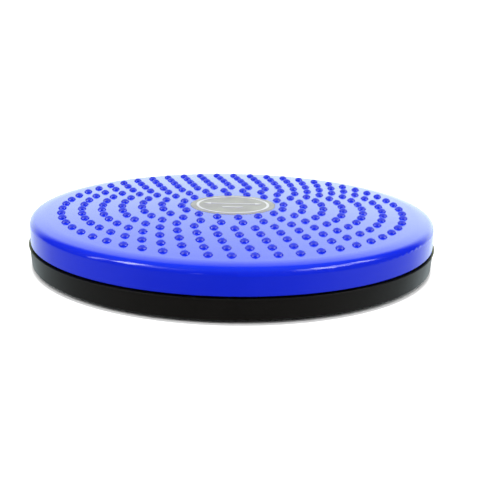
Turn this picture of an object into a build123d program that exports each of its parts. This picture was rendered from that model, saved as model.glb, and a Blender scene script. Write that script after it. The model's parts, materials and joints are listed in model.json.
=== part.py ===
"""Waist-twist balance disc: a nubbed turntable that spins on a caged ball race over a low round base.

Millimetres, +Z up. The origin is on the floor, under the disc's centre, and +Z is the spin axis.
"""

import os
from math import cos, pi, sqrt

from build123d import *

os.makedirs("parts", exist_ok=True)

# ---- Driving dimensions -------------------------------------------------------------------------

# Turntable (the moulded top plate)
disc_radius = 125.0  # outside of the skirt
crown_top = 33.7  # top surface at the centre, above the floor
crown_rise = 3.6  # how much lower the crown's sphere is at the disc radius than at the centre
rim_width = 7.0  # the crown turns down a little more over this width at its edge
rim_drop = 1.3  # how far the rim ends below the crown's sphere
rim_blend = 30.0  # round between the crown and the rim
shoulder_radius = 4.4  # round between the rim and the skirt
wall = 2.8  # moulded wall of the top plate and of the base
skirt_edge_round = 0.5

# Massage nubs, in concentric rings from the rim inwards
nub_radius = 2.75
nub_height = 1.8
nub_rim_margin = 19.0  # outermost ring's distance from the disc radius
nub_badge_margin = 5.7  # innermost ring's distance from the badge's edge
nub_counts = (54, 48, 42, 36, 30, 22, 16)
nub_turns = (0.12, -0.115, -0.35, -0.585, -0.82, -0.465, -0.70)  # ring start, in its own spacings

# Centre badge, which closes the nut well
badge_radius = 26.5
badge_thickness = 0.7
badge_recess = 0.47  # depth of the recess at the badge's edge
badge_gap = 0.15  # all round the badge
badge_clearance = 1.07  # between the bolt's end and the badge

# Base
foot_lift = 1.2  # the feet hold the base this far off the floor
lip_top = 13.7  # top of the base's outer lip
lip_thickness = 0.7
lip_overhang = 1.0  # beyond the disc radius
split_gap = 1.0  # between the lip and the skirt above it
base_overhang = 0.4  # the base's wall stands out this far beyond the disc radius, under the lip
base_draft = 0.9  # the base's wall is this much smaller in radius at its bottom
base_edge_round = 1.2
collar_gap = 1.4  # between the skirt's inside and the base's dust collar
collar_thickness = 2.2
collar_height = 5.0  # above the lip
shelf_thickness = 2.0  # joins the collar to the wall

# Ribs, in both mouldings
rib_count = 12
rib_thickness = 2.0
race_rib_clearance = 2.2  # between each race's seat and the radial ribs of its moulding
stiffener_inset = 36.0  # the ring rib's distance from the disc radius

# Ball race
ball_radius = 4.0
ball_count = 16
race_radius = 52.0  # circle of the ball centres
race_half_width = 8.0
race_web = 1.2  # steel under the groove
groove_depth = 1.8
groove_conformity = 0.32  # the groove's radius is this much more than the ball's
ball_clearance = 0.02  # between a ball and each groove
ball_height = 3.0  # ball centres above the base's lip
race_fit = 0.1  # between a race and the lips that locate it
race_lip_width = 2.0
race_lip_height = 1.4
race_ledge = 1.5  # width of rib under each edge of a race

# Ball cage
cage_half_width = 6.5
cage_clearance = 0.8  # between the cage and each race
pocket_clearance = 0.15

# Pivot: bolt held in the base, lock nut in the top plate's well
bolt_radius = 4.0
hex_margin = 2.5  # bolt radius to each flat, on the head and the nut
bolt_head_height = 5.3
bolt_head_recess = 0.5  # the head stays this far inside the base's underside
hex_pocket_gap = 0.1  # on each flat
bolt_hole_clearance = 0.1
bolt_end_chamfer = 0.6
bolt_past_nut = 0.4
nut_height = 8.0
nut_collar_height = 2.2
nut_collar_wall = 0.8
insert_height = 1.6
insert_wall = 1.2
insert_depth = 0.4  # from the nut's top
washer_thickness = 1.6
washer_width = 5.0
washer_bore_clearance = 0.2
spacer_thickness = 1.5
spacer_width = 8.0
hub_play = 0.2  # axial gap at each end of the bush

# Hub of the top plate and its bush
spanner_room = 6.5  # around the nut's corners, in the well
hub_floor = 4.0
bush_wall = 1.9
bush_running_clearance = 0.08
bush_flange_thickness = 1.5
bush_flange_width = 5.0
bush_proud = 0.3  # above the well's floor
base_hub_margin = 2.0  # beyond the spacer

# Feet
foot_count = 6
foot_radius = 9.0
foot_inset = 25.0  # the foot circle's distance from the disc radius
foot_start_angle = 15.0  # between two ribs
foot_seat_depth = 1.2
foot_seat_gap = 0.1
foot_edge_round = 0.4
foot_stem_radius = 2.5
foot_barb_radius = 3.6
foot_barb_height = 2.2
foot_barb_lead = 1.4  # the barb's cone is narrower by this much at its tip

# Moulded rings on the base's underside
underside_groove_radii = (38.0, 66.0)
underside_groove_width = 2.0
underside_groove_depth = 0.5

# ---- Heights and radii worked out from those ----------------------------------------------------

crown_sphere = (disc_radius**2 + crown_rise**2) / (2 * crown_rise)


def crown_z(radius):
    """Height of the top surface at a radius."""
    return crown_top - crown_sphere + sqrt(crown_sphere**2 - radius**2)


def rim_z(radius):
    """Height at a radius of the straight stretch between the crown and the shoulder."""
    return crown_z(rim_start) + (radius - rim_start) * rim_slope


rim_start = disc_radius - rim_width
rim_slope = (crown_z(disc_radius) - rim_drop - crown_z(rim_start)) / rim_width
skirt_bottom = lip_top + split_gap
skirt_inner_radius = disc_radius - wall
floor_top = foot_lift + wall

ball_z = lip_top + ball_height
lower_race_bottom = ball_z - ball_radius - ball_clearance - race_web
lower_race_top = ball_z - ball_radius + groove_depth
upper_race_bottom = ball_z + ball_radius - groove_depth
upper_race_top = ball_z + ball_radius + ball_clearance + race_web
race_inner = race_radius - race_half_width
race_outer = race_radius + race_half_width

badge_floor = crown_z(badge_radius) - badge_recess
bolt_end = badge_floor - badge_clearance
nut_top = bolt_end - bolt_past_nut
nut_bottom = nut_top - nut_height
washer_bottom = nut_bottom - washer_thickness
bush_top = washer_bottom - hub_play
well_floor = bush_top - bush_proud
hub_bottom = well_floor - hub_floor
bush_bottom = hub_bottom - bush_flange_thickness
base_hub_top = bush_bottom - hub_play - spacer_thickness
head_bottom = foot_lift + bolt_head_recess
head_top = head_bottom + bolt_head_height

hex_apothem = bolt_radius + hex_margin
well_radius = hex_apothem / cos(pi / 6) + spanner_room
bush_radius = bolt_radius + bush_running_clearance + bush_wall
spacer_radius = bolt_radius + spacer_width
base_hub_radius = spacer_radius + base_hub_margin

top_rib_bottom = upper_race_top + race_rib_clearance
base_rib_top = lower_race_bottom - race_rib_clearance
rib_base = foot_lift + wall / 2  # ribs and bosses start inside the base's floor
foot_circle = disc_radius - foot_inset
foot_seat_top = foot_lift + foot_seat_depth

# ---- Helpers ------------------------------------------------------------------------------------


def ring(inner, outer, low, high, mode=Mode.ADD):
    """Adds a plain ring, or takes it away, in the part being built. An inner radius of 0 is a disc."""
    with BuildSketch(Plane.XY.offset(low)) as outline:
        Circle(outer)
        if inner > 0:
            Circle(inner, mode=Mode.SUBTRACT)
    extrude(outline.sketch, amount=high - low, mode=mode)


def race_seat(face, towards_race):
    """Three concentric ribs that carry a race, the outer two with lips that locate it.

    face is the height where the race lies, and towards_race is 1 up or -1 down. The ribs run
    away from the race for the whole depth of the moulding, and are trimmed afterwards."""
    far = crown_top if towards_race < 0 else rib_base
    lip_end = face + towards_race * race_lip_height
    inner_edge, outer_edge = race_inner - race_lip_width, race_outer + race_lip_width
    ring(inner_edge, race_inner + race_ledge, min(face, far), max(face, far))
    ring(race_outer - race_ledge, outer_edge, min(face, far), max(face, far))
    ring(race_radius - 1, race_radius + 1, min(face, far), max(face, far))
    ring(inner_edge, race_inner - race_fit, min(face, lip_end), max(face, lip_end))
    ring(race_outer + race_fit, outer_edge, min(face, lip_end), max(face, lip_end))


def radial_ribs(start, end, low, high):
    """The spokes of a moulding, centred on the polar axis."""
    with BuildSketch(Plane.XY.offset(low)) as spokes:
        with PolarLocations(start, rib_count):
            Rectangle(end - start, rib_thickness, align=(Align.MIN, Align.CENTER))
    extrude(spokes.sketch, amount=high - low)


def crown_solid(inset):
    """A solid disc under the crown, drawn in from the outside by inset, down to the skirt's edge."""
    radius = disc_radius - inset
    middle = rim_start / 2
    crown_edge = (rim_start, crown_z(rim_start) - inset)
    with BuildPart() as solid:
        with BuildSketch(Plane.XZ) as section:
            with BuildLine():
                ThreePointArc((0, crown_top - inset), (middle, crown_z(middle) - inset), crown_edge)
                Polyline(
                    crown_edge,
                    (radius, rim_z(radius) - inset),
                    (radius, skirt_bottom),
                    (0, skirt_bottom),
                    (0, crown_top - inset),
                )
            make_face()
            corners = section.vertices().sort_by(Axis.X)
            fillet(corners[2], radius=rim_blend - inset)
            shoulder = section.vertices().group_by(Axis.X)[-1].sort_by(Axis.Y)[-1]
            fillet(shoulder, radius=shoulder_radius - inset)
        revolve(axis=Axis.Z)
    return solid.part


def washer(bore, radius, low, high):
    """A flat washer."""
    with BuildPart() as piece:
        ring(bore, radius, low, high)
    return piece


def save(piece, name):
    """Labels a finished piece and writes its STEP file."""
    piece.part.label = name
    export_step(piece.part, f"parts/{name}.step")


# ---- Turntable ----------------------------------------------------------------------------------

crown_outside = crown_solid(0)
crown_inside = crown_solid(wall)
crown_mid_wall = crown_solid(wall / 2)

# The underside's hub, ribs and race seat, trimmed to end inside the wall
with BuildPart() as top_framing:
    radial_ribs(well_radius, disc_radius, top_rib_bottom, crown_top)
    ring(0, well_radius + wall, hub_bottom, crown_top)
    stiffener = disc_radius - stiffener_inset
    ring(stiffener - rib_thickness / 2, stiffener + rib_thickness / 2, top_rib_bottom, crown_top)
    race_seat(upper_race_top, -1)
    add(crown_mid_wall, mode=Mode.INTERSECT)

with BuildPart() as top_plate:
    add(crown_outside)
    skirt_edge = top_plate.edges().filter_by(GeomType.CIRCLE).group_by(Axis.Z)[0]
    fillet(skirt_edge, radius=skirt_edge_round)
    add(crown_inside, mode=Mode.SUBTRACT)
    add(top_framing.part)
    ring(0, badge_radius + badge_gap, badge_floor, crown_top, mode=Mode.SUBTRACT)
    ring(0, well_radius, well_floor, badge_floor, mode=Mode.SUBTRACT)
    ring(0, bush_radius, hub_bottom, well_floor, mode=Mode.SUBTRACT)

    # Each nub is the cap of a sphere, sunk so that nub_height shows above the crown.
    nub_sphere = (nub_radius**2 + nub_height**2) / (2 * nub_height)
    outer_ring = disc_radius - nub_rim_margin
    inner_ring = badge_radius + nub_badge_margin
    ring_pitch = (outer_ring - inner_ring) / (len(nub_counts) - 1)
    for index, (count, turn) in enumerate(zip(nub_counts, nub_turns)):
        radius = outer_ring - index * ring_pitch
        base_z = crown_z(radius) + nub_height - nub_sphere
        first = -90 + turn * 360 / count
        with Locations((0, 0, base_z)):
            with PolarLocations(radius, count, start_angle=first):
                Sphere(nub_sphere, arc_size1=0, align=(Align.CENTER, Align.CENTER, Align.MIN))

save(top_plate, "top_plate")

# Badge: a plain disc with a broken edge, in the recess over the nut well
with BuildPart() as centre_badge:
    ring(0, badge_radius, badge_floor, badge_floor + badge_thickness)
    chamfer(centre_badge.edges().group_by(Axis.Z)[-1], length=badge_thickness / 4)
save(centre_badge, "centre_badge")

# Bush: a flanged sleeve pressed up into the hub
with BuildPart() as hub_bush:
    ring(0, bush_radius + bush_flange_width, bush_bottom, hub_bottom)
    ring(0, bush_radius, hub_bottom, bush_top)
    ring(0, bolt_radius + bush_running_clearance, bush_bottom, bush_top, mode=Mode.SUBTRACT)
save(hub_bush, "hub_bush")

# ---- Ball race ----------------------------------------------------------------------------------


def race(low, high, groove_z):
    """A steel ring with a groove for the balls."""
    with BuildPart() as piece:
        with BuildSketch(Plane.XZ):
            with Locations((race_radius, (low + high) / 2)):
                Rectangle(2 * race_half_width, high - low)
            with Locations((race_radius, groove_z)):
                Circle(ball_radius + groove_conformity, mode=Mode.SUBTRACT)
        revolve(axis=Axis.Z)
    return piece


groove_offset = groove_conformity - ball_clearance
save(race(lower_race_bottom, lower_race_top, ball_z + groove_offset), "lower_race")
save(race(upper_race_bottom, upper_race_top, ball_z - groove_offset), "upper_race")

# Cage: a flat ring between the races, with a round pocket for each ball
with BuildPart() as ball_cage:
    ring(
        race_radius - cage_half_width,
        race_radius + cage_half_width,
        lower_race_top + cage_clearance,
        upper_race_bottom - cage_clearance,
    )
    with Locations((0, 0, ball_z)):
        with PolarLocations(race_radius, ball_count):
            Sphere(ball_radius + pocket_clearance, mode=Mode.SUBTRACT)
save(ball_cage, "ball_cage")

ball_places = PolarLocations(race_radius, ball_count)
for number, place in enumerate(ball_places.locations, start=1):
    with BuildPart() as ball:
        with Locations((place.position.X, place.position.Y, ball_z)):
            Sphere(ball_radius)
    save(ball, f"ball_{number:02d}")

# ---- Base ---------------------------------------------------------------------------------------

base_top_radius = disc_radius + base_overhang
base_bottom_radius = base_top_radius - base_draft
collar_outer = skirt_inner_radius - collar_gap
collar_inner = collar_outer - collar_thickness
shelf_bottom = lip_top - shelf_thickness

with BuildPart() as base:
    with BuildSketch(Plane.XZ) as dish_section:
        with BuildLine():
            Polyline(
                (0, foot_lift),
                (base_bottom_radius, foot_lift),
                (base_top_radius, lip_top - lip_thickness),
                (disc_radius + lip_overhang, lip_top - lip_thickness),
                (disc_radius + lip_overhang, lip_top),
                (collar_outer, lip_top),
                (collar_outer, lip_top + collar_height),
                (collar_inner, lip_top + collar_height),
                (collar_inner, shelf_bottom),
                (base_top_radius - wall, shelf_bottom),
                (base_bottom_radius - wall, floor_top),
                (0, floor_top),
                close=True,
            )
        make_face()
        underside = dish_section.vertices().group_by(Axis.Y)[0]
        fillet(underside.sort_by(Axis.X)[-1], radius=base_edge_round)
        fillet(dish_section.vertices().group_by(Axis.X)[-1], radius=lip_thickness * 0.4)
    revolve(axis=Axis.Z)

    radial_ribs(spacer_radius, base_bottom_radius - wall / 2, rib_base, base_rib_top)
    race_seat(lower_race_bottom, 1)
    ring(0, base_hub_radius, rib_base, base_hub_top)

    with BuildSketch(Plane.XY.offset(foot_lift)):
        RegularPolygon(hex_apothem + hex_pocket_gap, side_count=6, major_radius=False)
    extrude(amount=head_top - foot_lift, mode=Mode.SUBTRACT)
    ring(0, bolt_radius + bolt_hole_clearance, head_top, base_hub_top, mode=Mode.SUBTRACT)

    with BuildSketch(Plane.XY.offset(foot_lift)):
        with PolarLocations(foot_circle, foot_count, start_angle=foot_start_angle):
            Circle(foot_radius + foot_seat_gap)
    extrude(amount=foot_seat_depth, mode=Mode.SUBTRACT)
    with BuildSketch(Plane.XY.offset(foot_seat_top)):
        with PolarLocations(foot_circle, foot_count, start_angle=foot_start_angle):
            Circle(foot_stem_radius)
    extrude(amount=floor_top - foot_seat_top, mode=Mode.SUBTRACT)

    for groove_radius in underside_groove_radii:
        ring(
            groove_radius,
            groove_radius + underside_groove_width,
            foot_lift,
            foot_lift + underside_groove_depth,
            mode=Mode.SUBTRACT,
        )
save(base, "base")

# Feet: rubber pads with a stem and a barb pushed through the base's floor
foot_places = PolarLocations(foot_circle, foot_count, start_angle=foot_start_angle)
for number, place in enumerate(foot_places.locations, start=1):
    centre = (place.position.X, place.position.Y)
    barb_middle = floor_top + foot_barb_height / 2
    with BuildPart() as foot:
        with BuildSketch(Plane.XY):
            with Locations(centre):
                Circle(foot_radius)
        extrude(amount=foot_seat_top)
        fillet(foot.edges().group_by(Axis.Z)[0], radius=foot_edge_round)
        with BuildSketch(Plane.XY.offset(foot_seat_top)):
            with Locations(centre):
                Circle(foot_stem_radius)
        extrude(amount=floor_top - foot_seat_top)
        with Locations((*centre, barb_middle)):
            Cone(foot_barb_radius, foot_barb_radius - foot_barb_lead, foot_barb_height)
    save(foot, f"rubber_foot_{number}")

# ---- Pivot --------------------------------------------------------------------------------------

with BuildPart() as pivot_bolt:
    with BuildSketch(Plane.XY.offset(head_bottom)):
        RegularPolygon(hex_apothem, side_count=6, major_radius=False)
    extrude(amount=bolt_head_height)
    ring(0, bolt_radius, head_top, bolt_end)
    chamfer(pivot_bolt.edges().group_by(Axis.Z)[-1], length=bolt_end_chamfer)
save(pivot_bolt, "pivot_bolt")

washer_bore = bolt_radius + washer_bore_clearance
hub_spacer = washer(washer_bore, spacer_radius, base_hub_top, base_hub_top + spacer_thickness)
save(hub_spacer, "hub_spacer")
nut_washer = washer(washer_bore, bolt_radius + washer_width, washer_bottom, nut_bottom)
save(nut_washer, "nut_washer")

# Lock nut: a hexagon with a round collar that holds a nylon ring
insert_top = nut_top - insert_depth
insert_radius = bolt_radius + insert_wall
with BuildPart() as lock_nut:
    with BuildSketch(Plane.XY.offset(nut_bottom)):
        RegularPolygon(hex_apothem, side_count=6, major_radius=False)
    extrude(amount=nut_height - nut_collar_height)
    ring(0, insert_radius + nut_collar_wall, nut_top - nut_collar_height, nut_top)
    ring(0, bolt_radius, nut_bottom, nut_top, mode=Mode.SUBTRACT)
    ring(0, insert_radius, insert_top - insert_height, insert_top, mode=Mode.SUBTRACT)
save(lock_nut, "lock_nut")
lock_nut_insert = washer(bolt_radius, insert_radius, insert_top - insert_height, insert_top)
save(lock_nut_insert, "lock_nut_insert")
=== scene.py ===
"""Waist-twist balance disc: fine meshes, materials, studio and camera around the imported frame."""

import json
from math import cos, pi, radians, sin

import bpy
from mathutils import Matrix, Vector


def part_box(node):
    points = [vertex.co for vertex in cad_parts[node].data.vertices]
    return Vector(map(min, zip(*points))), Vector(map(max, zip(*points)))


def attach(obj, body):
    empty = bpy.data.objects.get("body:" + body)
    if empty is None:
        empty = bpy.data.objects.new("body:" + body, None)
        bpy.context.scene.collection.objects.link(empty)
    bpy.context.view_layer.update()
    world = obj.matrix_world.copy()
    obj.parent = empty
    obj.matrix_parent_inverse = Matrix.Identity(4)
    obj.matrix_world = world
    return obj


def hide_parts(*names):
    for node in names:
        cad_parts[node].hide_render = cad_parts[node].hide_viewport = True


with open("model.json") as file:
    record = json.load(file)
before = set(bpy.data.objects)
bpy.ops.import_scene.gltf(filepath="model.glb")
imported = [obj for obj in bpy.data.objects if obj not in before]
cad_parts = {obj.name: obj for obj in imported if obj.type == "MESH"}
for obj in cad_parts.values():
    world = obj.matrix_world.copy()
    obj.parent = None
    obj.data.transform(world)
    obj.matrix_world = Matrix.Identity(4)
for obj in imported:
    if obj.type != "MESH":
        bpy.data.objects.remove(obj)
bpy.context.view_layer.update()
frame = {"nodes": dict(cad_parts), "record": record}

nodes = frame["nodes"]
scene = bpy.context.scene
MM = 0.001

# ---- Sizes, from the frame ----------------------------------------------------------------------

badge_low, badge_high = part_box("centre_badge")
BADGE_RADIUS = badge_high.x
BADGE_TOP = badge_high.z
DISC_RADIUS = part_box("top_plate")[1].x
NUB_HEIGHT = 1.8 * MM
NUB_SIDES = (0.1 * NUB_HEIGHT, 0.4 * NUB_HEIGHT)  # heights over which the crown's finish becomes a nub's
NUB_HIGHLIGHT = (0.7 * NUB_HEIGHT, NUB_HEIGHT)  # heights over which the painted highlight on a nub's top sets in
CROWN_TOP = 33.7 * MM  # height of the crown's surface at the centre
CROWN_RISE = 3.6 * MM  # how much lower the crown's sphere is at the disc radius
CROWN_SPHERE = (DISC_RADIUS**2 + CROWN_RISE**2) / (2 * CROWN_RISE)


# ---- Meshes -------------------------------------------------------------------------------------


def new_piece(name, vertices, faces, material, body, slot, smooth_angle=30):
    """Makes a mesh piece, shades it smooth up to an angle, and lets it ride on a CAD body."""
    mesh = bpy.data.meshes.new(name)
    mesh.from_pydata(vertices, [], faces)
    mesh.materials.append(material)
    piece = bpy.data.objects.new(name, mesh)
    scene.collection.objects.link(piece)
    mesh.shade_smooth()
    mesh.set_sharp_from_angle(angle=radians(smooth_angle))
    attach(piece, body)
    return piece


def lathe(profile, segments=192):
    """Vertices and faces of a closed solid of revolution. profile goes round the section, counterclockwise
    in (radius, z), and a radius of 0 makes a pole."""
    vertices, rows = [], []
    for radius, z in profile:
        if radius == 0:
            rows.append([len(vertices)] * segments)
            vertices.append((0, 0, z))
            continue
        rows.append(list(range(len(vertices), len(vertices) + segments)))
        for step in range(segments):
            angle = 2 * pi * step / segments
            vertices.append((radius * cos(angle), radius * sin(angle), z))
    faces = []
    for low, high in zip(rows, rows[1:] + rows[:1]):
        if low[0] == low[1] and high[0] == high[1]:
            continue
        for step in range(segments):
            after = (step + 1) % segments
            ring = [low[step], low[after], high[after], high[step]]
            faces.append(list(dict.fromkeys(ring)))
    return vertices, faces


def prism(outline, low, high):
    """Vertices and faces of an upright prism on a counterclockwise outline."""
    count = len(outline)
    vertices = [(x, y, low) for x, y in outline] + [(x, y, high) for x, y in outline]
    faces = [list(range(count))[::-1], list(range(count, 2 * count))]
    for index in range(count):
        after = (index + 1) % count
        faces.append([index, after, count + after, count + index])
    return vertices, faces


# ---- Shader helpers -----------------------------------------------------------------------------


def add(tree, kind, inputs=None, **settings):
    """Adds a shader node. Each input is given a value, or another node's output."""
    made = tree.nodes.new("ShaderNode" + kind)
    for key, value in settings.items():
        setattr(made, key, value)
    for key, value in (inputs or {}).items():
        if isinstance(value, bpy.types.NodeSocket):
            tree.links.new(value, made.inputs[key])
        else:
            made.inputs[key].default_value = value
    return made


def calc(tree, operation, first, second=0.0, third=0.0, clamp=False):
    """The output of a math node."""
    inputs = {0: first, 1: second, 2: third}
    return add(tree, "Math", inputs, operation=operation, use_clamp=clamp).outputs[0]


def remap(tree, value, low, high, to_low, to_high, smooth=False):
    """The output of a clamped map range node."""
    kind = "SMOOTHSTEP" if smooth else "LINEAR"
    inputs = {"Value": value, "From Min": low, "From Max": high, "To Min": to_low, "To Max": to_high}
    return add(tree, "MapRange", inputs, interpolation_type=kind).outputs[0]


def mix_color(tree, factor, first, second):
    """The output of a colour mix; colours are linear RGB or sockets."""
    made = add(tree, "Mix", {"Factor": factor}, data_type="RGBA")
    for key, value in ((6, first), (7, second)):
        if isinstance(value, bpy.types.NodeSocket):
            tree.links.new(value, made.inputs[key])
        else:
            made.inputs[key].default_value = (*value, 1)
    return made.outputs[2]


def noise(tree, point, scale, detail=3.0, roughness=0.55, stretch=None):
    """The output of a noise texture in the piece's own coordinates, in features per metre."""
    if stretch is not None:
        point = add(tree, "Mapping", {"Vector": point, "Scale": stretch}).outputs[0]
    inputs = {"Vector": point, "Scale": scale, "Detail": detail, "Roughness": roughness}
    return add(tree, "TexNoise", inputs).outputs["Fac"]


def bumps(tree, layers):
    """Stacks bumps, each (height socket, depth in metres), and returns the last normal."""
    normal = None
    for height, depth in layers:
        inputs = {"Height": height, "Distance": depth, "Strength": 1.0}
        if normal is not None:
            inputs["Normal"] = normal
        normal = add(tree, "Bump", inputs).outputs[0]
    return normal


def new_material(name, metallic=0.0, ior=1.5):
    """A principled material, with its node tree, its shader and its object coordinates."""
    material = bpy.data.materials.new(name)
    material.use_nodes = True
    tree = material.node_tree
    shader = tree.nodes["Principled BSDF"]
    shader.inputs["Metallic"].default_value = metallic
    shader.inputs["IOR"].default_value = ior
    point = add(tree, "TexCoord").outputs["Object"]
    return material, tree, shader, point


def connect(tree, shader, color, roughness, normal):
    """Links the three things that every material here varies."""
    tree.links.new(color, shader.inputs["Base Color"])
    tree.links.new(roughness, shader.inputs["Roughness"])
    tree.links.new(normal, shader.inputs["Normal"])


def scratches(tree, point, scale, density):
    """Fine hairlines: thin bands in two stretched noises that cross at an angle."""
    lines = None
    for turn in (0.4, 1.9):
        drawn = {"Vector": point, "Rotation": (0, 0, turn), "Scale": (1.0, 0.03, 1.0)}
        field = noise(tree, add(tree, "Mapping", drawn).outputs[0], scale, detail=1.0)
        band = calc(tree, "ABSOLUTE", calc(tree, "SUBTRACT", field, 0.5))
        line = remap(tree, band, 0.0, density, 1.0, 0.0)
        lines = line if lines is None else calc(tree, "MAXIMUM", lines, line)
    patches = remap(tree, noise(tree, point, 28.0, detail=2.0), 0.5, 0.68, 0.0, 1.0, smooth=True)
    return calc(tree, "MULTIPLY", lines, patches)


# ---- Materials ----------------------------------------------------------------------------------


def above_crown(tree, point):
    """Height above the crown's surface, in metres."""
    x, y, z = add(tree, "SeparateXYZ", {"Vector": point}).outputs
    square = calc(tree, "ADD", calc(tree, "MULTIPLY", x, x), calc(tree, "MULTIPLY", y, y))
    drop = calc(tree, "DIVIDE", square, 2 * CROWN_SPHERE)
    return calc(tree, "ADD", calc(tree, "SUBTRACT", z, CROWN_TOP), drop)


def blue_plastic():
    """Glossy moulded plastic: slight flow in the colour, orange peel, hairlines, nubs rubbed duller, and
    nub tops painted lighter as a painted highlight.
    """
    deep, bright, top_highlight = (0.0028, 0.0145, 0.58), (0.0040, 0.0190, 0.66), (0.012, 0.05, 0.72)
    low_rough, high_rough, scratch_rough, nub_rough = 0.085, 0.125, 0.12, 0.29
    material, tree, shader, point = new_material("blue_plastic", ior=1.5)
    height = above_crown(tree, point)
    highlight_tops = remap(tree, height, *NUB_HIGHLIGHT, 0.0, 1.0, smooth=True)
    nubs = remap(tree, height, *NUB_SIDES, 0.0, 1.0, smooth=True)
    flow = noise(tree, point, 22.0, detail=4.0)
    cloud = noise(tree, point, 65.0, detail=5.0)
    peel = noise(tree, point, 260.0, detail=2.0, roughness=0.4)
    lines = scratches(tree, point, 900.0, 0.012)

    color = mix_color(tree, flow, deep, bright)
    # nub tops mixed a quarter of the way to a lighter blue: a painted highlight
    color = mix_color(tree, calc(tree, "MULTIPLY", highlight_tops, 0.25), color, top_highlight)
    rough = remap(tree, cloud, 0.3, 0.7, low_rough, high_rough)
    rough = calc(tree, "MULTIPLY_ADD", lines, scratch_rough, rough)
    rough = calc(tree, "MULTIPLY_ADD", nubs, nub_rough, rough)
    connect(tree, shader, color, rough, bumps(tree, [(peel, 0.00002), (lines, 0.000003)]))
    return material


def black_plastic():
    """Satin moulded plastic with a fine spark-eroded grain, a little greyer where it is scratched."""
    deep, pale, scratched = (0.0056, 0.0050, 0.0043), (0.0088, 0.0080, 0.0071), (0.03, 0.03, 0.03)
    low_rough, high_rough, grain_rough = 0.30, 0.38, 0.08
    material, tree, shader, point = new_material("black_plastic", ior=1.42)
    shader.inputs["Specular IOR Level"].default_value = 0.25
    shader.inputs["Specular Tint"].default_value = (1.0, 0.88, 0.84, 1.0)
    grain = noise(tree, point, 2600.0, detail=3.0, roughness=0.6)
    cloud = noise(tree, point, 40.0, detail=5.0)
    lines = scratches(tree, point, 700.0, 0.012)

    color = mix_color(tree, cloud, deep, pale)
    color = mix_color(tree, calc(tree, "MULTIPLY", lines, 0.35), color, scratched)
    rough = remap(tree, cloud, 0.3, 0.7, low_rough, high_rough)
    rough = calc(tree, "MULTIPLY_ADD", grain, grain_rough, rough)
    connect(tree, shader, color, rough, bumps(tree, [(grain, 0.000025), (lines, 0.000004)]))
    return material


def printed_silver(name, dark, light, low_rough, high_rough):
    """Metallic ink or foil: fine flake and faint lines of the roller, with cloudy gloss."""
    material, tree, shader, point = new_material(name, metallic=0.55)
    flake = noise(tree, point, 5200.0, detail=2.0, roughness=0.7)
    roller = noise(tree, point, 420.0, detail=3.0, stretch=(0.04, 1.0, 1.0))
    cloud = noise(tree, point, 90.0, detail=4.0)
    tone = calc(tree, "MULTIPLY_ADD", flake, 0.55, calc(tree, "MULTIPLY", roller, 0.45))
    color = mix_color(tree, remap(tree, tone, 0.35, 0.65, 0.0, 1.0), dark, light)
    rough = remap(tree, cloud, 0.3, 0.7, low_rough, high_rough)
    normal = bumps(tree, [(flake, 0.000006), (roller, 0.000006)])
    connect(tree, shader, color, rough, normal)
    return material


def turned_steel(name, dark, light, low_rough, high_rough, pitch):
    """Steel with fine concentric tool lines about the Z axis and cloudy plating."""
    material, tree, shader, point = new_material(name, metallic=1.0)
    lines = add(
        tree,
        "TexWave",
        {"Vector": point, "Scale": pitch, "Distortion": 1.5, "Detail": 2.0, "Detail Scale": 3.0},
        wave_type="RINGS",
        rings_direction="Z",
    ).outputs["Fac"]
    cloud = noise(tree, point, 140.0, detail=5.0)
    color = mix_color(tree, cloud, dark, light)
    rough = remap(tree, calc(tree, "MULTIPLY_ADD", lines, 0.4, cloud), 0.4, 1.1, low_rough, high_rough)
    normal = bumps(tree, [(lines, 0.000004), (noise(tree, point, 900.0), 0.000004)])
    connect(tree, shader, color, rough, normal)
    return material


def ball_steel():
    """Ground and polished bearing steel, with the faintest haze."""
    material, tree, shader, point = new_material("ball_steel", metallic=1.0)
    haze = noise(tree, point, 500.0, detail=4.0)
    color = mix_color(tree, haze, (0.58, 0.58, 0.59), (0.68, 0.68, 0.68))
    rough = remap(tree, haze, 0.3, 0.7, 0.05, 0.11)
    connect(tree, shader, color, rough, bumps(tree, [(haze, 0.000001)]))
    return material


def nylon(name, dark, light):
    """Natural nylon: waxy, slightly uneven in colour, fine drag lines."""
    material, tree, shader, point = new_material(name, ior=1.53)
    cloud = noise(tree, point, 160.0, detail=5.0)
    grain = noise(tree, point, 1800.0, detail=3.0)
    color = mix_color(tree, cloud, dark, light)
    rough = remap(tree, cloud, 0.3, 0.7, 0.38, 0.5)
    connect(tree, shader, color, rough, bumps(tree, [(cloud, 0.00002), (grain, 0.000006)]))
    return material


def foot_rubber():
    """Matt rubber with a pebbled skin and pale dust picked up from the floor."""
    material, tree, shader, point = new_material("foot_rubber", ior=1.52)
    pebble = noise(tree, point, 1400.0, detail=4.0)
    dust = remap(tree, noise(tree, point, 300.0, detail=6.0), 0.52, 0.72, 0.0, 0.3)
    color = mix_color(tree, dust, (0.014, 0.014, 0.014), (0.12, 0.115, 0.105))
    rough = remap(tree, pebble, 0.3, 0.7, 0.72, 0.88)
    connect(tree, shader, color, rough, bumps(tree, [(pebble, 0.00005)]))
    return material


blue = blue_plastic()
black = black_plastic()
rubber = foot_rubber()
race_steel = turned_steel("race_steel", (0.46, 0.47, 0.48), (0.60, 0.61, 0.62), 0.2, 0.36, 420.0)
zinc_steel = turned_steel("zinc_steel", (0.50, 0.50, 0.49), (0.66, 0.66, 0.67), 0.26, 0.42, 300.0)
balls = ball_steel()
bearing_nylon = nylon("bearing_plastic", (0.66, 0.65, 0.58), (0.76, 0.75, 0.70))
cage_nylon = nylon("cage_plastic", (0.60, 0.58, 0.50), (0.70, 0.68, 0.61))
badge_foil = printed_silver("badge_silver", (0.236, 0.200, 0.325), (0.316, 0.270, 0.434), 0.32, 0.44)
badge_ink = printed_silver("badge_ink", (0.545, 0.500, 0.720), (0.640, 0.590, 0.830), 0.34, 0.46)

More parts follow.
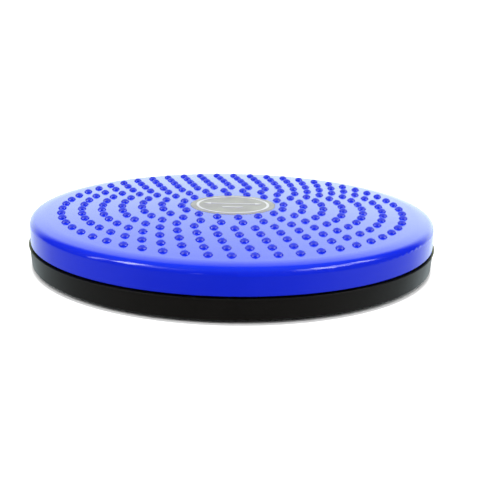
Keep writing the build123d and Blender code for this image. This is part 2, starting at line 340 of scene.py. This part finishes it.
finishes = {
    "blue_plastic": blue,
    "black_plastic": black,
    "foot_rubber": rubber,
    "race_steel": race_steel,
    "zinc_steel": zinc_steel,
    "ball_steel": balls,
    "bearing_plastic": bearing_nylon,
    "cage_plastic": cage_nylon,
    "badge_silver": badge_foil,
}
for part in frame["record"]["subparts"]:
    for material_slot in nodes[part["node"]].material_slots:
        material_slot.material = finishes[part["material_slot"]]


# ---- Badge: a foil disc with a ring, a double-headed arrow and a bar in relief -------------------

BADGE_DOME = 0.12 * MM  # the disc's centre stands this much above its edge
BADGE_EDGE = 0.18 * MM  # rounding of the disc's edge
BADGE_RINGS = 12  # rings of faces across the disc's top
RELIEF = 0.12 * MM  # how far the ring, the arrow and the bar stand out
RELIEF_SINK = 0.1 * MM  # how far they start below the surface
RELIEF_EDGE = 0.04 * MM  # their broken edges
RING_INNER = 0.80 * BADGE_RADIUS
RING_OUTER = 0.865 * BADGE_RADIUS
ARROW_REACH = 0.70 * BADGE_RADIUS  # from the middle to a tip
ARROW_HEAD = 2.3 * MM  # half a head's width, and half its length
ARROW_RISE = 0.10 * BADGE_RADIUS  # how far behind the centre the arrow lies
STROKE = 0.8 * MM  # half the width of the arrow's shaft and of the bar
BAR_REACH = 0.24 * BADGE_RADIUS
BAR_DROP = 0.26 * BADGE_RADIUS  # how far in front of the centre the bar lies


def badge_z(radius):
    """Height of the badge's surface at a radius."""
    return BADGE_TOP - BADGE_DOME * (radius / BADGE_RADIUS) ** 2


def build_badge():
    """The foil disc: flat below, rounded at both edges, slightly domed above."""
    flat = BADGE_RADIUS - BADGE_EDGE
    low, high = badge_low.z + BADGE_EDGE, badge_z(BADGE_RADIUS) - BADGE_EDGE
    profile = [(0, badge_low.z)]
    for degrees in range(-90, 91, 30):
        centre = low if degrees < 0 else high if degrees > 0 else (low + high) / 2
        angle = radians(degrees)
        profile.append((flat + BADGE_EDGE * cos(angle), centre + BADGE_EDGE * sin(angle)))
    for step in range(1, BADGE_RINGS):
        radius = flat * (1 - step / BADGE_RINGS)
        profile.append((radius, badge_z(radius)))
    profile.append((0, BADGE_TOP))
    disc = new_piece("badge_disc", *lathe(profile), badge_foil, "turntable", "badge_silver")
    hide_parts("centre_badge")


def build_ring():
    """A flat ring near the badge's rim."""
    top = badge_z((RING_INNER + RING_OUTER) / 2) + RELIEF
    low = badge_z(RING_OUTER) - RELIEF_SINK
    profile = [
        (RING_INNER, low),
        (RING_OUTER, low),
        (RING_OUTER, top - RELIEF_EDGE),
        (RING_OUTER - RELIEF_EDGE, top),
        (RING_INNER + RELIEF_EDGE, top),
        (RING_INNER, top - RELIEF_EDGE),
    ]
    new_piece("badge_ring", *lathe(profile), badge_ink, "turntable", "badge_silver")


def build_prints():
    """A double-headed arrow across the middle, with a short bar in front of it."""
    neck = ARROW_REACH - 2 * ARROW_HEAD
    right = [(neck, -STROKE), (neck, -ARROW_HEAD), (ARROW_REACH, 0), (neck, ARROW_HEAD), (neck, STROKE)]
    left = [(-x, -y) for x, y in right]
    bar = [(-BAR_REACH, -STROKE), (BAR_REACH, -STROKE), (BAR_REACH, STROKE), (-BAR_REACH, STROKE)]
    top = badge_z(0.3 * BADGE_RADIUS) + RELIEF
    for name, outline, shift in (("badge_arrow", right + left, ARROW_RISE), ("badge_bar", bar, -BAR_DROP)):
        shape = prism([(x, y + shift) for x, y in outline], top - RELIEF - RELIEF_SINK, top)
        raised = new_piece(name, *shape, badge_ink, "turntable", "badge_silver")
        bevel = raised.modifiers.new("edge", "BEVEL")
        bevel.width = RELIEF_EDGE
        bevel.segments = 1


build_badge()
build_ring()
build_prints()

# ---- Camera -------------------------------------------------------------------------------------

CAMERA_PLACE = (0.0088, -0.5657, 0.1642)
CAMERA_TILT = 15.545  # degrees below the horizontal
CAMERA_ROLL = 1.18
CAMERA_LENS = 67.4

camera_data = bpy.data.cameras.new("camera")
camera_data.lens = CAMERA_LENS
camera_data.sensor_width = 36.0
camera_data.clip_end = 200.0
camera = bpy.data.objects.new("camera", camera_data)
scene.collection.objects.link(camera)
scene.camera = camera
tilt = Matrix.Rotation(radians(90 - CAMERA_TILT), 4, "X")
roll = Matrix.Rotation(radians(CAMERA_ROLL), 4, "Z")
camera.matrix_world = Matrix.Translation(CAMERA_PLACE) @ tilt @ roll

# ---- Studio: a white table under a soft dome, and for the gloss a white wall behind a dark room ---

DOME_LIGHT = 1.93  # radiance of the dome straight overhead
DOME_POWER = 1.5  # how fast it falls off towards the horizon
DOME_SIDES = 2.4  # more from the left and the right
WALL_LIGHT = (1.36, 1.60, 0.90)
WALL_EDGE = (31, 85)  # elevations between which the wall fades out
WALL_SIDES = (0.7, 0.35)  # how much brighter the wall is towards its ends, and towards +X
ROOM_LIGHT = (0.04, 0.05, 0.06)
CEILING_LIGHT = (0.10, 0.30, 0.40)
BELOW_LIGHT = ((0.0, 0.03), (0.12, 0.17), (0.30, 0.38), (0.72, 0.56), (0.92, 1.2))  # front to back
BELOW_TINT = (1.0, 1.16, 1.20)
TABLE_COLOR = 0.75
TABLE_BOUNCE = 0.60
TABLE_GLOW = 0.56
TABLE_SHADE = (0.1232, 0.1252)  # the glow starts between these radii, outside the base
SHADE_SHIFT = (0.0, 0.0030, 0.0)  # the shade lies this much further forward
TABLE_HALF = 40.0
BOUNCE_DROP = 0.05 * MM  # the piece that throws light back lies this much below the top
SHADE_PATCH_RADIUS = 0.1235  # a dark disc under the base that the gloss sees: painted shade
SHADE_PATCH_LIFT = 0.02 * MM
SHADE_PATCH_COLOR = 0.01
SOFTBOX_DISTANCE = 1.6
SOFTBOXES = (  # azimuth, elevation, width and height in degrees, radiance
    (-77, 24, 6, 22, 4.0),
    (-68, 42, 5, 20, 15.0),
    (-60, 42, 6, 20, 12.0),
    (-46, 42, 12, 18, 1.4),
    (-31, 42, 7, 18, 0.5),
    (-16, 8, 5, 10, 1.0),
    (48, 40, 12, 16, 2.4),
    (71, 40, 34, 16, 2.2),
    (57, 40, 6, 18, 8.0),
    (69, 40, 4, 18, 8.0),
    (88, 40, 6, 18, 7.0),
)


def scaled(tree, color, factor):
    """The output of a colour times a number."""
    return add(tree, "VectorMath", {0: color, "Scale": factor}, operation="SCALE").outputs[0]


def gloss_light(tree, x, y, z):
    """What the gloss sees in each direction."""
    behind = remap(tree, y, 0.5, 0.95, 0.0, 1.0, smooth=True)
    low = remap(tree, z, sin(radians(WALL_EDGE[0])), sin(radians(WALL_EDGE[1])), 1.0, 0.0, smooth=True)
    ends = calc(tree, "MULTIPLY_ADD", calc(tree, "ABSOLUTE", x), WALL_SIDES[0], 1.0)
    ends = calc(tree, "MULTIPLY_ADD", x, WALL_SIDES[1], ends)
    wall = scaled(tree, WALL_LIGHT, calc(tree, "MULTIPLY", calc(tree, "MULTIPLY", behind, low), ends))
    room = mix_color(tree, remap(tree, z, 0.5, 0.95, 0.0, 1.0, smooth=True), ROOM_LIGHT, CEILING_LIGHT)
    above = add(tree, "VectorMath", {0: wall, 1: room}, operation="ADD").outputs[0]
    ramp = add(tree, "ValToRGB", {"Fac": remap(tree, y, -1.0, 1.0, 0.0, 1.0)})
    while len(ramp.color_ramp.elements) < len(BELOW_LIGHT):
        ramp.color_ramp.elements.new(0.5)
    for element, (place, light) in zip(ramp.color_ramp.elements, BELOW_LIGHT):
        element.position = place
        element.color = (light, light, light, 1)
    tinted = {0: ramp.outputs["Color"], 1: BELOW_TINT}
    below = add(tree, "VectorMath", tinted, operation="MULTIPLY").outputs[0]
    below = scaled(tree, below, calc(tree, "MULTIPLY_ADD", x, 0.15, 1.0))
    return mix_color(tree, remap(tree, z, -0.12, 0.04, 0.0, 1.0, smooth=True), below, above)


def diffuse_light(tree, x, y, z):
    """What lights the matt part of every surface."""
    up = calc(tree, "MAXIMUM", z, 0.0)
    dome = calc(tree, "MULTIPLY", calc(tree, "POWER", up, DOME_POWER), DOME_LIGHT)
    sides = calc(tree, "MULTIPLY", calc(tree, "MULTIPLY", x, x), DOME_SIDES)
    sides = calc(tree, "MULTIPLY", sides, calc(tree, "MULTIPLY", up, 3.0, clamp=True))
    return scaled(tree, (1, 1, 1), calc(tree, "ADD", dome, sides))


def build_world():
    scene.view_settings.view_transform = "Standard"
    world = bpy.data.worlds.new("studio")
    scene.world = world
    world.use_nodes = True
    world.cycles.sampling_method = "NONE"
    tree = world.node_tree
    background = tree.nodes["Background"]
    direction = add(tree, "TexCoord").outputs["Generated"]
    axes = add(tree, "SeparateXYZ", {"Vector": direction}).outputs
    path = add(tree, "LightPath")
    matt, gloss = diffuse_light(tree, *axes), gloss_light(tree, *axes)
    light = mix_color(tree, path.outputs["Is Glossy Ray"], matt, gloss)
    light = mix_color(tree, path.outputs["Is Camera Ray"], light, (1, 1, 1))
    tree.links.new(light, background.inputs["Color"])
    background.inputs["Strength"].default_value = 1.0


def table_piece(name, outline, height, color):
    """A flat matt piece of the table, seen by no ray until the caller says which."""
    mesh = bpy.data.meshes.new(name)
    mesh.from_pydata([(x, y, height) for x, y in outline], [], [list(range(len(outline)))])
    piece = bpy.data.objects.new(name, mesh)
    scene.collection.objects.link(piece)
    material = bpy.data.materials.new(name)
    material.use_nodes = True
    shader = material.node_tree.nodes["Principled BSDF"]
    shader.inputs["Base Color"].default_value = (color, color, color, 1)
    shader.inputs["Roughness"].default_value = 1.0
    shader.inputs["Specular IOR Level"].default_value = 0.0
    mesh.materials.append(material)
    piece.visible_camera = piece.visible_diffuse = piece.visible_glossy = False
    return piece, material.node_tree, shader


def build_table():
    """The table top as the camera sees it, as it throws light back, and a dark disc of painted shade under
    the base.
    """
    corners = ((-1, -1), (1, -1), (1, 1), (-1, 1))
    square = [(TABLE_HALF * x, TABLE_HALF * y) for x, y in corners]
    top, tree, shader = table_piece("table_top", square, 0.0, TABLE_COLOR)
    top.visible_camera = True
    point = add(tree, "TexCoord").outputs["Object"]
    shifted = add(tree, "VectorMath", {0: point, 1: SHADE_SHIFT}, operation="ADD").outputs[0]
    distance = add(tree, "VectorMath", {0: shifted}, operation="LENGTH").outputs["Value"]
    glow = remap(tree, distance, *TABLE_SHADE, 0.0, TABLE_GLOW, smooth=True)
    shader.inputs["Emission Color"].default_value = (1, 1, 1, 1)
    tree.links.new(glow, shader.inputs["Emission Strength"])
    bounce = table_piece("table_bounce", square, -BOUNCE_DROP, TABLE_BOUNCE)[0]
    bounce.visible_diffuse = True
    turns = [2 * pi * step / 128 for step in range(128)]
    # painted shade: a dark disc under the base, seen only by the gloss
    circle = [(SHADE_PATCH_RADIUS * cos(turn), SHADE_PATCH_RADIUS * sin(turn)) for turn in turns]
    shade_patch = table_piece("table_shade_patch", circle, SHADE_PATCH_LIFT, SHADE_PATCH_COLOR)[0]
    shade_patch.visible_glossy = True
    shade_patch.visible_shadow = False


def softbox(name, azimuth, elevation, width, height, radiance):
    """An area light that only the gloss sees. Azimuth is from the front, towards +X, in degrees."""
    light = bpy.data.lights.new(name, "AREA")
    light.shape = "RECTANGLE"
    light.size = 2 * SOFTBOX_DISTANCE * sin(radians(width / 2))
    light.size_y = 2 * SOFTBOX_DISTANCE * sin(radians(height / 2))
    light.energy = radiance * pi * light.size * light.size_y
    lamp = bpy.data.objects.new(name, light)
    scene.collection.objects.link(lamp)
    az, el = radians(azimuth), radians(elevation)
    place = SOFTBOX_DISTANCE * Vector((sin(az) * cos(el), -cos(az) * cos(el), sin(el)))
    lamp.matrix_world = Matrix.Translation(place) @ place.to_track_quat("Z", "Y").to_matrix().to_4x4()
    lamp.visible_camera = False
    lamp.visible_diffuse = False


build_world()
build_table()
for number, box in enumerate(SOFTBOXES, start=1):
    softbox(f"softbox_{number}", *box)
